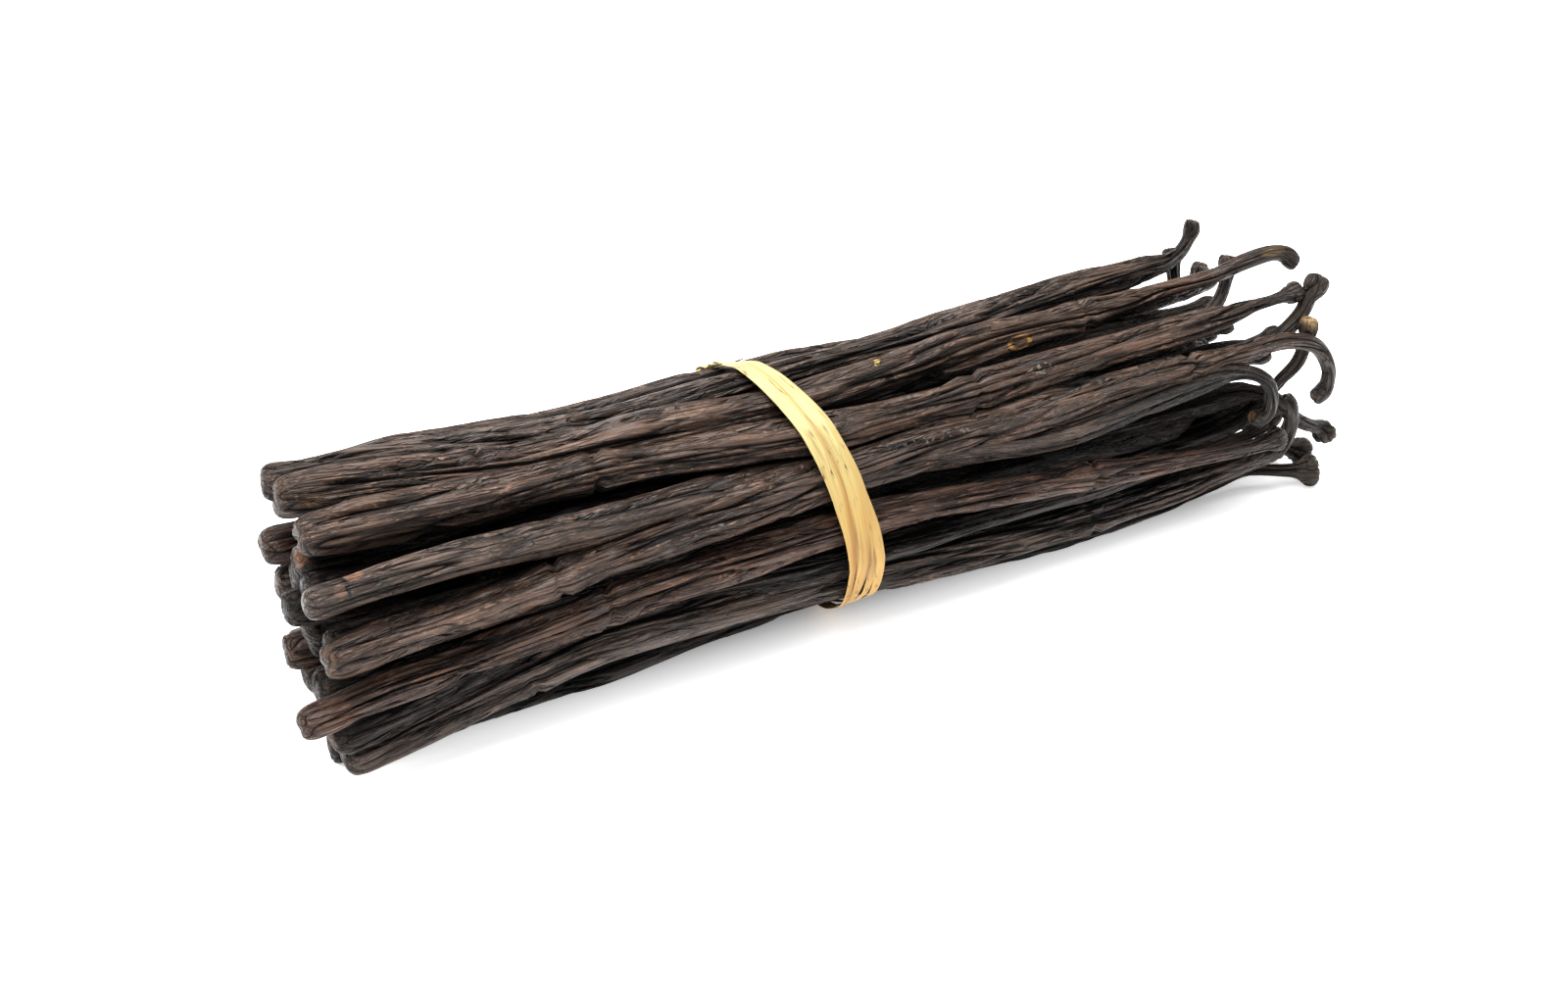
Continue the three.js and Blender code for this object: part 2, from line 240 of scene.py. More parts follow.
# %% The pods underneath, up the back and inside
PODS.update({
    "i": dict(clock=[-72, -64, -66, -72, -74], tip=-82.5, neck=76, out=[1.9, 1.6, 0, 3.8, 4.9],
              stalk=[(6, 0, 0.5), (12, -2.4, 0.3), (17.3, -4.5, 0)], thin=17, knob=2.3, skin="shaded"),
    "j": dict(clock=-91, tip=-80, neck=74, out=[0, 1, 0, 3, 4.1],
              stalk=[(6, -1, 0), (12, -2, 1), (17, -3, 0.5)]),
    "k": dict(clock=[-130, -118, -113, -113, -112], tip=-82, neck=72, out=[0, 0, 0, 4.5, 5.6],
              skin="red brown"),
    "l": dict(clock=[-117, -121, -134, -137, -137], tip=-80, neck=72, out=[3, 1.8, 0.2, 0, 0],
              skin="grey"),
    "m": dict(clock=-160, tip=-80.5, neck=72, knuckles=(52, 110)),
    "n": dict(clock=[-180, -184, -184, -186, -192], tip=-82, neck=72,
              stalk=[(8, 1, 0), (12, 1, 0.5), (16, 2, 1)], knob=1.5, skin="red brown", knuckles=(70, 120),
              thin=8, flare=20),
    "o": dict(clock=-207, tip=-80, neck=70, stalk=[(8.2, 0, -2.5), (11.5, 0, -2), (13, 0, 3)], knob=1.5,
              knuckles=(40, 95)),
    "z": dict(clock=-228, tip=-79, neck=70, out=[0, 0, 0, -1.5, -3.2],
              stalk=[(5, 1, 0), (6, 3, 2.8), (6.4, 5, 6)], knob=1.5, skin="grey"),
    "p": dict(ring="inner", clock=[76, 80, 82, 86, 88], tip=-84, neck=72, out=[1, 0, 0, 0, 0],
              skin="shaded", stalk=[(5, 2, 0), (8.8, 4, 3), (10.4, 6, 7)], knob=1.5),
    "q": dict(ring="inner", clock=[58, 55, 48, 46, 45], tip=-84, neck=76, skin="shaded",
              stalk=[(5, -0.5, 0), (9.6, 0.5, 1), (13.4, 1.5, 3.2), (15.8, 2.5, 5.8), (18, 3.5, 8)],
              thin=14, knob=1.9),
    "r": dict(ring="inner", clock=[10, 10, 4, 4, 4], tip=-83, neck=76, skin="shaded",
              stalk=[(5, -1, -0.5), (8.6, 0, 0.8), (11.4, 0, 3.2), (12.9, 0.4, 7), (13.6, 0.8, 10.4)],
              thin=14, flare=10, knob=1.4),
    "s": dict(ring="inner", clock=[-25, -30, -38, -40, -38], tip=-85, neck=76, skin="shaded", thin=14,
              knob=1.8, flare=10,
              stalk=[(6, -1, 3.4), (9, -2, 1.4), (12.2, -1.5, -2.4), (15.6, -1, -5), (18, 0, -6.5),
                     (20.2, 0, -9.2)]),
    "t": dict(ring="inner", clock=[-78, -78, -78, -70, -66], tip=-82, neck=80,
              stalk=[(5, -1, -4), (10, -1, -8), (14.5, -0.6, -10)], thin=10, knob=2, skin="shaded"),
    "u": dict(ring="inner", clock=-126, tip=-80, neck=72, skin="shaded"),
    "v": dict(ring="inner", clock=-172, tip=-80, neck=72, skin="shaded"),
    "w": dict(ring="inner", clock=140, tip=-78, neck=72, stalk=[(6, 0, 0), (10, 0, 0)], knob=1.5,
              skin="shaded", thin=5),
    "x": dict(ring="innermost", clock=60, tip=-86, neck=74, radius=3, skin="shaded"),
    "y": dict(ring="innermost", clock=-120, tip=-82, neck=74, radius=3, skin="shaded"),
})
PODS = {name: {**POD, "flare": 16 if "ring" in pod else 26, **pod} for name, pod in PODS.items()}
print(len(PODS), "pods in all")

# %% A pod's route points


def along(steps, x):
    """The value at x of a line of straight steps through (x, value) pairs."""
    if x <= steps[0][0]:
        return steps[0][1]
    for (x0, v0), (x1, v1) in zip(steps, steps[1:]):
        if x <= x1:
            return v0 + (v1 - v0) * (x - x0) / (x1 - x0)
    return steps[-1][1]


def smoothstep(x, low, high):
    t = min(1, max(0, (x - low) / (high - low)))
    return t * t * (3 - 2 * t)


def around_axis(x, distance, clock):
    """A point beside the bundle's axis, in millimetres from it."""
    angle = math.radians(clock)
    return Vector((x, -distance * math.cos(angle), distance * math.sin(angle)))


def ring_distance(pod, x, station):
    if pod["ring"] == "inner":
        return INNER_RING[station]
    if pod["ring"] == "innermost":
        return INNERMOST_RING[station]
    return along(BUNDLE_RADIUS, x) - pod["radius"]


def pod_points(pod):
    """The points that a pod's middle line passes, from tip to stalk, in millimetres."""
    tip, neck = pod["tip"], pod["neck"]
    points = []
    for station, x in enumerate([tip, (tip + STRAP_X) / 2, STRAP_X, (neck + STRAP_X) / 2, neck]):
        clock = pod["clock"][station] if isinstance(pod["clock"], list) else pod["clock"]
        point = around_axis(x, ring_distance(pod, x, station) + pod["out"][station], clock)
        point.z = max(point.z, pod["radius"] * REST_SHARE[station] - AXIS.z)
        points.append(point)
    for step in pod["stalk"]:
        point = points[4] + Vector(step)
        point.z = max(point.z, 0.9 * pod["knob"] - AXIS.z)
        points.append(point)
    return [point + AXIS for point in points]


print("pod a starts at", [round(v, 1) for v in pod_points(PODS["a"])[0]], "mm")

# %% [markdown]
# The route itself is a Bezier curve. Its handles are worked out from the points on either side, weighted by
# the square root of their distances, which keeps the curve calm where close points follow far ones, as at a
# neck.

# %% A smooth curve through points


def deselect_all():
    if bpy.context.object and bpy.context.object.mode != "OBJECT":
        bpy.ops.object.mode_set(mode="OBJECT")
    bpy.ops.object.select_all(action="DESELECT")


def lay_route(name, points):
    """A Bezier curve in metres through points in millimetres."""
    deselect_all()
    bpy.ops.curve.primitive_bezier_curve_add(location=(0, 0, 0))
    route = bpy.context.object
    route.name = name
    route.data.resolution_u = 40
    spline = route.data.splines[0]
    spline.bezier_points.add(len(points) - 2)
    padded = [2 * points[0] - points[1], *points, 2 * points[-1] - points[-2]]
    for i, knot in enumerate(spline.bezier_points):
        before, here, after = padded[i], padded[i + 1], padded[i + 2]
        step_in, step_out = (here - before).length ** 0.5, (after - here).length ** 0.5
        speed = (here - before) / step_in + (after - here) / step_out
        speed -= (after - before) / (step_in + step_out)
        knot.handle_left_type = knot.handle_right_type = "FREE"
        knot.co = here * MM
        knot.handle_left = (here - speed * step_in / 3) * MM
        knot.handle_right = (here + speed * step_out / 3) * MM
    return route, spline.calc_length(resolution=64) / MM


test_route, test_length = lay_route("test route", pod_points(PODS["e"]))
print("pod e is", round(test_length, 1), "mm long")
bpy.data.objects.remove(test_route)

# %% [markdown]
# ## Drawing out a pod
#
# A cured pod is a long rod: a blunt tip, an even body, a neck that thins to a stalk, and a knob with a
# hollow cut end. It could be a curve with a bevel, but then every part of it has the same section.
# Extruding one round face along X and resizing it at each step gives full control, and Subdivision Surface
# rounds the steps.

# %% Radius along a pod
BODY_TAPER = [(0, 0.48), (0.5, 0.76), (1.5, 0.92), (3.2, 1), (6, 0.96), (10, 1), (70, 1), (110, 0.88),
              (135, 0.72), (220, 0.6)]
STALK_RADIUS = 1.05
KNOB_LENGTH = 3.6


def pod_radius(pod, distance, length):
    to_end = length - distance
    slim = pod["slim"] + (1 - pod["slim"]) * smoothstep(distance, 20, 60)
    body = pod["radius"] * along(BODY_TAPER, distance) * slim
    flare = smoothstep(to_end, pod["thin"], pod["thin"] + pod["flare"])
    stalk = STALK_RADIUS + (body - STALK_RADIUS) * flare
    knob = pod["knob"]
    if to_end >= KNOB_LENGTH:
        return stalk
    profile = [(0, 0.72 * knob), (0.5, 0.98 * knob), (1.5, 1.1 * knob), (2.5, knob),
               (KNOB_LENGTH, STALK_RADIUS)]
    return max(stalk, along(profile, to_end))


def steps_between(start, end, step):
    count = max(1, round((end - start) / step))
    return [start + (end - start) * i / count for i in range(1, count + 1)]


ROUNDED_IN = 1.08  # subdivision pulls a ten-sided ring in by 7 %, so it starts that much wider
WRINKLED_IN = 0.14  # and wrinkles take about this much off, in millimetres
BODY_STEP, STALK_STEP = 8.5, 4.5  # about how far apart the rings are


def pod_rings(pod, length):
    """(distance, radius) of each ring of a pod, ending in the hollow of its cut end."""
    neck = length - pod["thin"] - pod["flare"]
    places = [0, 0.5, 1.5, 3.2, 6, *steps_between(6, neck, BODY_STEP)]
    places += steps_between(neck, length - KNOB_LENGTH, STALK_STEP)
    places += [length - 2.5, length - 1.5, length - 0.5, length]
    rings = [(x, pod_radius(pod, x, length) * ROUNDED_IN + WRINKLED_IN) for x in places]
    return rings + [(length - 0.1, 0.55 * pod["knob"]), (length - 0.5, 0.3 * pod["knob"])]


print("rings of pod e:", len(pod_rings(PODS["e"], test_length)))

# %% A rod, extruded ring by ring


def draw_out(name, sides, rings):
    """A closed rod along +X through rings of (distance, half width, half thickness), in millimetres."""
    deselect_all()
    x, wide, thick = rings[0]
    bpy.ops.mesh.primitive_circle_add(vertices=sides, radius=MM, fill_type="NGON",
                                      location=(x * MM, 0, 0), rotation=(0, math.pi / 2, 0))
    piece = bpy.context.object
    piece.name = piece.data.name = name
    bpy.ops.object.transform_apply(location=True, rotation=True, scale=True)
    bpy.ops.object.mode_set(mode="EDIT")
    bpy.ops.mesh.select_all(action="SELECT")
    bpy.ops.transform.resize(value=(1, wide, thick), center_override=(x * MM, 0, 0))
    for next_x, next_wide, next_thick in rings[1:]:
        bpy.ops.mesh.extrude_region_move(TRANSFORM_OT_translate={"value": ((next_x - x) * MM, 0, 0)})
        bpy.ops.transform.resize(value=(1, next_wide / wide, next_thick / thick),
                                 center_override=(next_x * MM, 0, 0))
        x, wide, thick = next_x, next_wide, next_thick
    bpy.ops.mesh.select_all(action="SELECT")
    bpy.ops.mesh.normals_make_consistent(inside=False)
    bpy.ops.object.mode_set(mode="OBJECT")
    return piece


def take(piece):
    """Selects one piece alone, so that the next operators act on it."""
    deselect_all()
    piece.select_set(True)
    bpy.context.view_layer.objects.active = piece


def apply_modifier(piece, kind, **settings):
    """Adds a modifier with its settings and applies it at once."""
    take(piece)
    modifier = piece.modifiers.new(kind.lower(), kind)
    for setting, value in settings.items():
        setattr(modifier, setting, value)
    bpy.ops.object.modifier_apply(modifier=modifier.name)


# %% [markdown]
# ## Wrinkles
#
# As a pod dries, its skin shrinks into long furrows, wrinkles between them, and fine lines between those. A
# Displace modifier pushes by a texture, but it can't stretch the texture along the pod and keep it seamless
# round it. A Geometry Nodes group can: it reads each point of the straight rod, squeezes the distances
# along it, and makes a crease wherever a soft noise passes through zero.

# %% Noise along a pod


def vector(operation, *values, scale=None):
    node = new_node("ShaderNodeVectorMath", operation=operation)
    for socket, value in zip(node.inputs, values):
        put(socket, value)
    if scale is not None:
        put(node.inputs["Scale"], scale)
    return node.outputs["Value" if operation in ("LENGTH", "DOT_PRODUCT") else "Vector"]


def combine(x=0.0, y=0.0, z=0.0):
    node = new_node("ShaderNodeCombineXYZ")
    for socket, value in zip(node.inputs, (x, y, z)):
        put(socket, value)
    return node.outputs[0]


def signed_noise(place, detail=0.0):
    """Noise that swings evenly about zero."""
    node = new_node("ShaderNodeTexNoise", normalize=False)
    put(node.inputs["Vector"], place)
    put(node.inputs["Scale"], 1.0)
    put(node.inputs["Detail"], detail)
    return node.outputs[0]


def shifted(place, step, seed):
    """Places moved on by a step times a seed, so that no two pieces share a pattern."""
    return vector("ADD", place, vector("SCALE", step, scale=seed))


def stretched(place, long, across, seed):
    """Places in cells that are so many millimetres long and across."""
    return shifted(vector("DIVIDE", place, (long, across, across)), (1.7, 3.1, 5.3), seed)


def crease(place, long, across, width, seed):
    """1 along the middle of thin wandering lines, 0 between them."""
    away = number("ABSOLUTE", signed_noise(stretched(place, long, across, seed)))
    return ramp(away, 0.0, width, 1.0, 0.0)


def crackle(place, long, across, width, seed):
    """1 along the joints of a net of long cells, 0 inside them."""
    node = new_node("ShaderNodeTexVoronoi", feature="DISTANCE_TO_EDGE")
    put(node.inputs["Vector"], stretched(place, long, across, seed))
    put(node.inputs["Scale"], 1.0)
    return ramp(node.outputs["Distance"], 0.0, width, 1.0, 0.0)


# %% Node groups


def node_group(name, tree_kind, takes, gives):
    """A new node group on the bench, with its named sockets in and out."""
    group = on_bench(bpy.data.node_groups.new(name, tree_kind))
    for in_out, sockets in ("INPUT", takes), ("OUTPUT", gives):
        for socket, kind in sockets.items():
            group.interface.new_socket(socket, in_out=in_out, socket_type="NodeSocket" + kind)
    return group, new_node("NodeGroupInput").outputs, new_node("NodeGroupOutput").inputs


def geometry_group(name, *numbers):
    """A Geometry Nodes group with a geometry in and out, and named numbers in."""
    takes = {"Geometry": "Geometry", **dict.fromkeys(numbers, "Float")}
    return node_group(name, "GeometryNodeTree", takes, {"Geometry": "Geometry"})


def store(geometry, name, kind, value):
    node = new_node("GeometryNodeStoreNamedAttribute", data_type=kind, domain="POINT")
    put(node.inputs["Geometry"], geometry)
    node.inputs["Name"].default_value = name
    put(node.inputs["Value"], value)
    return node.outputs["Geometry"]


def move_points(geometry, offset):
    node = new_node("GeometryNodeSetPosition")
    put(node.inputs["Geometry"], geometry)
    put(node.inputs["Offset"], offset)
    return node.outputs["Geometry"]


def apply_group(piece, group, **values):
    """Runs a Geometry Nodes group on a piece with its own numbers, and applies it."""
    take(piece)
    modifier = piece.modifiers.new(group.name, "NODES")
    modifier.node_group = group
    for item in group.interface.items_tree:
        if item.name in values:
            modifier[item.identifier] = float(values[item.name])
    bpy.ops.object.modifier_apply(modifier=modifier.name)


# %% The wrinkles
FURROW_CELL, FOLD_CELL = (36.0, 2.0), (16.0, 1.15)  # millimetres along and across

wrinkles, given, result = geometry_group("pod wrinkles", "seed", "length", "deep", "knuckle_1",
                                         "knuckle_2", "cleft")
seed = given["seed"]
place = vector("SCALE", new_node("GeometryNodeInputPosition").outputs[0], scale=1000.0)
from_tip, side, top = separate(place)
radial = number("SQRT", number("ADD", number("POWER", side, 2.0), number("POWER", top, 2.0)))
to_end = number("SUBTRACT", given["length"], from_tip)
girth = chain("MULTIPLY", ramp(radial, 0.4, 3.0, 0.2, 1.0), ramp(from_tip, 0.0, 9.0, 0.25, 1.0),
              ramp(to_end, 0.0, 9.0, 0.4, 1.0))

drift = signed_noise(stretched(place, 45.0, 3.5, seed), 1.0)
wandered = vector("ADD", place, vector("SCALE", (0.0, 1.0, -1.0), scale=number("MULTIPLY", drift, 0.8)))

lobes = signed_noise(stretched(wandered, 45.0, 2.6, seed))
lumps = signed_noise(stretched(place, 16.0, 6.0, seed))
furrows = crease(wandered, *FURROW_CELL, 0.15, seed)
folds = crease(wandered, *FOLD_CELL, 0.22, seed)
rough = signed_noise(stretched(place, 5.0, 0.8, seed), 1.0)


def knuckle(at):
    """A pinch round the pod where it once grew a joint, with a swelling on both sides."""
    uneven = number("MULTIPLY", signed_noise(stretched(place, 40.0, 3.2, seed), 1.0), 1.1)
    away = number("ABSOLUTE", number("ADD", number("SUBTRACT", from_tip, at), uneven))
    return number("ADD", ramp(away, 0.0, 1.1, -1.1, 0.0), ramp(away, 0.5, 6.0, 0.45, 0.0))


height = chain("ADD", number("MULTIPLY", lobes, 1.25), number("MULTIPLY", lumps, 0.7),
               number("MULTIPLY", furrows, -0.95), number("MULTIPLY", folds, -0.34),
               number("MULTIPLY", rough, 0.07), knuckle(given["knuckle_1"]), knuckle(given["knuckle_2"]))
aslant = number("ABSOLUTE", vector("DOT_PRODUCT", wandered, (0.0, 0.8, 0.6)))
notch = number("MULTIPLY", ramp(aslant, 0.0, 1.2, -0.55, 0.0), ramp(from_tip, 0.5, 6.0, 1.0, 0.0))
height = number("ADD", chain("MULTIPLY", height, girth, given["deep"]),
                number("MULTIPLY", notch, given["cleft"]))

sway = vector("MULTIPLY", place, (1 / 30, 0.0, 0.0))
aside = combine(y=number("MULTIPLY", signed_noise(shifted(sway, (2.9, 1.3, 0.7), seed)), 0.8),
                z=number("MULTIPLY", signed_noise(shifted(sway, (4.1, 6.7, 2.3), seed)), 0.8))
skin_normal = new_node("GeometryNodeInputNormal").outputs[0]
offset = vector("ADD", vector("SCALE", skin_normal, scale=height), aside)

# the crease share is kept for the skin, which paints shade into the furrows with it
deepest = number("MAXIMUM", furrows, number("MULTIPLY", folds, 0.75))
geometry = store(given["Geometry"], "skin", "FLOAT_VECTOR", wandered)
for name, value in ("seed", seed), ("crease", deepest), ("to_end", to_end):
    geometry = store(geometry, name, "FLOAT", value)
put(result["Geometry"], move_points(geometry, vector("SCALE", offset, scale=MM)))
print("wrinkle group has", len(wrinkles.nodes), "nodes")

# %% [markdown]
# Once it is bent, a pod is pressed flat where it meets the surface. The same group marks its inner side,
# which faces the bundle's axis. The skin paints that side darker: painted shade, for the gaps between the
# pods where little light gets in.

# %% Resting on the surface
settle, given, result = geometry_group("settle", "floor")
spot = new_node("GeometryNodeInputPosition").outputs[0]
lift = number("MAXIMUM", number("SUBTRACT", given["floor"], separate(spot)[2]), 0.0)


def stored(name, kind):
    node = new_node("GeometryNodeInputNamedAttribute", data_type=kind)
    node.inputs["Name"].default_value = name
    return node.outputs["Attribute"]


outward = vector("MULTIPLY", vector("SUBTRACT", spot, tuple(AXIS * MM)), (0.0, 1.0, 1.0))
facing = vector("DOT_PRODUCT", vector("NORMALIZE", outward),
                new_node("GeometryNodeInputNormal").outputs[0])
# painted shade: the side that faces the bundle's axis, in the gaps between pods, is marked to be darkened
painted_gap_shade = chain("MULTIPLY", ramp(facing, 0.0, 0.6, 1.0, 0.0),
                   ramp(stored("to_end", "FLOAT"), 14.0, 38.0),
                   ramp(separate(stored("skin", "FLOAT_VECTOR"))[0], 2.0, 14.0, 0.3, 1.0))
geometry = store(given["Geometry"], "painted_gap_shade", "FLOAT", painted_gap_shade)
put(result["Geometry"], move_points(geometry, combine(z=lift)))
print("settle group has", len(settle.nodes), "nodes")

# %% [markdown]
# ## The skin's finish
#
# The skin is dark brown with a dull oily sheen. Ridges rub paler, and thin pale dashes on them are partly
# the skin's own and partly painted glints. Furrows, fine lines and each pod's inner side are painted darker:
# painted shade. Pods differ: some grey, some reddish, and a darker copy of the skin is painted shade for
# the pods that lie in shade. What all pods share is one node group. It reads the attributes that the
# wrinkles left on each point, so colour and relief agree, and it adds lines finer than the mesh. Each
# finish is a material with its own colours.

# %% Colours as a picker shows them


def colour(red, green, blue):
    """A colour of 0 to 255 as the linear values that a shader takes."""
    return tuple(v / 12.92 if v <= 0.04045 else ((v + 0.055) / 1.055) ** 2.4
                 for v in (red / 255, green / 255, blue / 255)) + (1.0,)


def blend_colours(share, first, second):
    node = new_node("ShaderNodeMix", data_type="RGBA")
    for socket, value in ("Factor", share), ("A", first), ("B", second):
        put(node.inputs[socket], value)
    return node.outputs["Result"]


# %% The shared skin
cured_skin, given, result = node_group(
    "cured skin", "ShaderNodeTree",
    {"Skin": "Vector", "Place": "Vector", "Crease": "Float", "Painted gap shade": "Float", "To end": "Float",
     "Seed": "Float", "Furrow": "Color", "Body": "Color", "Ridge": "Color", "Stalk": "Color",
     "Crust": "Color"},
    {"Colour": "Color", "Roughness": "Float", "Height": "Float"})
skin, seed = given["Skin"], given["Seed"]


def skin_noise(long, across, detail=1.0):
    return signed_noise(stretched(skin, long, across, seed), detail)


patches = ramp(skin_noise(26.0, 3.0, 2.0), -0.35, 0.45)
streaks = ramp(skin_noise(12.0, 0.4, 2.0), -0.45, 0.45)
where_fine = ramp(skin_noise(10.0, 3.0), -0.3, 0.3, 0.05, 1.0)
swerve = vector("SCALE", (0.0, 1.0, -1.0), scale=number("MULTIPLY", skin_noise(4.0, 1.2), 0.3))
net = crackle(vector("ADD", skin, swerve), 7.0, 0.9, 0.1, seed)
dashes = number("MULTIPLY", crease(skin, 3.6, 0.36, 0.16, seed), ramp(skin_noise(8.0, 2.0), -0.1, 0.4))
lines = chain("MAXIMUM", crease(skin, *FURROW_CELL, 0.055, seed), number("MULTIPLY", dashes, 0.7),
              number("MULTIPLY", crease(skin, *FOLD_CELL, 0.1, seed), 0.55),
              chain("MULTIPLY", crease(skin, 9.0, 0.6, 0.2, seed), where_fine, 0.65),
              chain("MULTIPLY", net, where_fine, 0.4))

ridges = chain("MULTIPLY", patches, ramp(streaks, 0.0, 1.0, 0.55, 1.0),
               number("SUBTRACT", 1.0, given["Crease"]))
tone = blend_colours(ridges, given["Body"], given["Ridge"])
# thin pale dashes: partly the skin's own, partly painted glints standing in for the sheen's highlights
pale_dashes_and_glints = number("MULTIPLY", crease(skin, 2.4, 0.3, 0.14, seed),
              ramp(skin_noise(6.0, 1.6), 0.0, 0.45, 0.0, 0.75))
tone = blend_colours(pale_dashes_and_glints, tone, vector("SCALE", given["Ridge"], scale=2.4))
tone = blend_colours(ramp(given["To end"], 4.0, 26.0, 0.8, 0.0), tone, given["Stalk"])
# painted shade: creases and fine lines are darkened toward the furrow colour
shade = number("ADD", number("MULTIPLY", given["Crease"], 0.3), lines)
# painted shade on each pod's inner side, which faces the bundle's axis
shade = number("ADD", number("MULTIPLY", given["Painted gap shade"], 0.75), shade, clamp=True)
tone = blend_colours(number("MULTIPLY", shade, 0.95), tone, given["Furrow"])

crumbs = skin_noise(1.3, 0.9, 2.0)
crust = number("MULTIPLY", ramp(separate(skin)[0], 0.4, 3.0, 0.45, 0.0), ramp(crumbs, 0.1, 0.45))
cut_end = number("MULTIPLY", ramp(given["To end"], 0.1, 0.7, 0.4, 0.0), ramp(crumbs, -0.3, 0.3))
tone = blend_colours(number("MAXIMUM", crust, cut_end), tone, given["Crust"])

# %% [markdown]
# Single pods carry marks of their own, such as a scar, a fleck, a crack or a tan end. Two more are painted
# light and shade: the right half of b is painted lighter and the right half of d darker. They could be small
# pieces laid on the skin, but a real mark has hardly any height. So each is a small ellipsoid in the
# bundle's own space, and the skin takes its colour inside it: a spot fills it, crumbs fill it in grains,
# and a rim is a ring in it.

# %% Marks on single pods
# kind, middle and half sizes in millimetres, colour, strength
MARKS = {
    # painted light: the right half of b is lightened, as if it were lit
    "painted light on the right half of b": ("spot", (42.0, -1.6, 40.0), (30.0, 3.2, 3.4), colour(100, 82, 70), 0.5),
    "oval scar": ("spot", (36.0, -1.9, 38.4), (1.7, 1.1, 0.95), colour(66, 46, 30), 0.9),
    "rim of the scar": ("rim", (36.0, -1.9, 38.4), (2.4, 1.5, 1.25), colour(160, 120, 70), 1.0),
    "tan fleck on b": ("crumbs", (9.8, -2.1, 42.3), (1.3, 1.2, 1.0), colour(158, 130, 76), 0.9),
    "rough patch on b": ("crumbs", (12.6, -4.2, 40.0), (2.4, 1.4, 1.2), colour(104, 88, 74), 0.8),
    "crust near the tip of b": ("crumbs", (-83.0, 0.4, 43.0), (2.6, 1.8, 1.6), colour(98, 74, 52), 0.5),
    "brown end of the stalk of b": ("spot", (84.6, 0.9, 40.9), (3.0, 1.3, 0.9), colour(104, 82, 52), 0.5),
    "pale flecks on c": ("crumbs", (34.9, -9.9, 38.2), (4.0, 1.3, 1.2), colour(140, 126, 114), 0.7),
    "torn skin on d": ("spot", (-82.0, -14.6, 38.3), (2.0, 1.7, 1.6), colour(118, 86, 68), 0.9),
    "flap below it": ("spot", (-84.7, -16.4, 38.0), (1.3, 1.4, 1.3), colour(100, 74, 60), 0.8),
    "crack between them": ("spot", (-83.5, -15.4, 38.0), (0.5, 2.8, 2.6), colour(6, 5, 4), 1.0),
    "tan end of the curl of d": ("spot", (73.1, -13.7, 20.7), (1.2, 1.2, 1.2), colour(112, 86, 58), 0.8),
    # painted shadow: the right half of d is darkened, as if shaded by e
    "painted shadow on the right half of d": ("spot", (58.0, -15.5, 28.5), (28.0, 4.2, 4.4), colour(16, 12, 10), 0.8),
    "dotted line along e": ("crumbs", (14.4, -14.7, 34.3), (8.5, 0.9, 0.7), colour(128, 116, 104), 0.75),
    "crack across e": ("spot", (54.0, -13.5, 34.8), (0.4, 1.9, 2.0), colour(6, 5, 4), 0.85),
    "tan rim at the tip of e": ("rim", (-88.6, -20.1, 28.5), (1.6, 1.9, 1.9), colour(96, 74, 56), 0.55),
    "tan tip of p": ("spot", (-86.5, -3.6, 36.1), (1.7, 1.8, 1.8), colour(116, 82, 60), 0.75),
    "reddish tip of h": ("spot", (-88.6, -18.5, 13.3), (1.5, 1.8, 1.8), colour(88, 58, 46), 0.7),
    "grey knob of i": ("spot", (89.0, -9.7, 2.4), (3.4, 3.0, 3.0), colour(88, 80, 72), 0.6),
    "tan knob of r": ("spot", (86.4, -9.0, 32.4), (2.0, 2.2, 2.2), colour(150, 124, 88), 0.85),
}

fine_crumbs = skin_noise(0.9, 0.6)
raised = 0.0
for kind, middle, half_sizes, mark_colour, strength in MARKS.values():
    away = vector("LENGTH", vector("DIVIDE", vector("SUBTRACT", given["Place"], middle), half_sizes))
    if kind == "rim":
        mark = ramp(number("ABSOLUTE", number("SUBTRACT", away, 0.8)), 0.08, 0.32, strength, 0.0)
    else:
        mark = ramp(away, 0.6, 1.0, strength, 0.0)
    if kind == "crumbs":
        mark = number("MULTIPLY", mark, ramp(fine_crumbs, 0.05, 0.3))
    tone = blend_colours(mark, tone, mark_colour)
    if kind != "spot":
        raised = number("MAXIMUM", raised, mark)
put(result["Colour"], tone)
put(result["Roughness"], number("ADD", number("MULTIPLY", patches, 0.14), number("MULTIPLY", shade, 0.3)))
put(result["Height"], number("ADD", number("MULTIPLY_ADD", streaks, 0.2, raised),
                             number("SUBTRACT", number("MULTIPLY", crumbs, 0.1), lines)))
print(len(MARKS), "marks, and the skin group has", len(cured_skin.nodes), "nodes")

# %% The finishes


def attribute(name, output):
    return new_node("ShaderNodeAttribute", attribute_name=name).outputs[output]


def add_bump(shader, height, strength, distance):
    """Fine relief from a height, up to so many millimetres deep."""
    node = new_node("ShaderNodeBump")
    node.inputs["Strength"].default_value = strength
    node.inputs["Distance"].default_value = distance * MM
    put(node.inputs["Height"], height)
    put(shader.inputs["Normal"], node.outputs["Normal"])


def skin_finish(name, shine, **colours):
    material, shader = new_material(name)
    group = new_node("ShaderNodeGroup", node_tree=cured_skin)
    put(group.inputs["Skin"], attribute("skin", "Vector"))
    place = new_node("ShaderNodeTexCoord").outputs["Object"]
    put(group.inputs["Place"], vector("SCALE", place, scale=1 / MM))
    for stored_name in "crease", "painted_gap_shade", "to_end", "seed":
        put(group.inputs[stored_name.replace("_", " ").capitalize()], attribute(stored_name, "Fac"))
    for part, given_colour in colours.items():
        put(group.inputs[part.capitalize()], colour(*given_colour))
    put(shader.inputs["Base Color"], group.outputs["Colour"])
    put(shader.inputs["Roughness"], number("ADD", group.outputs["Roughness"], 0.3))
    shader.inputs["Specular IOR Level"].default_value = shine
    add_bump(shader, group.outputs["Height"], 1.0, 0.5)
    return material
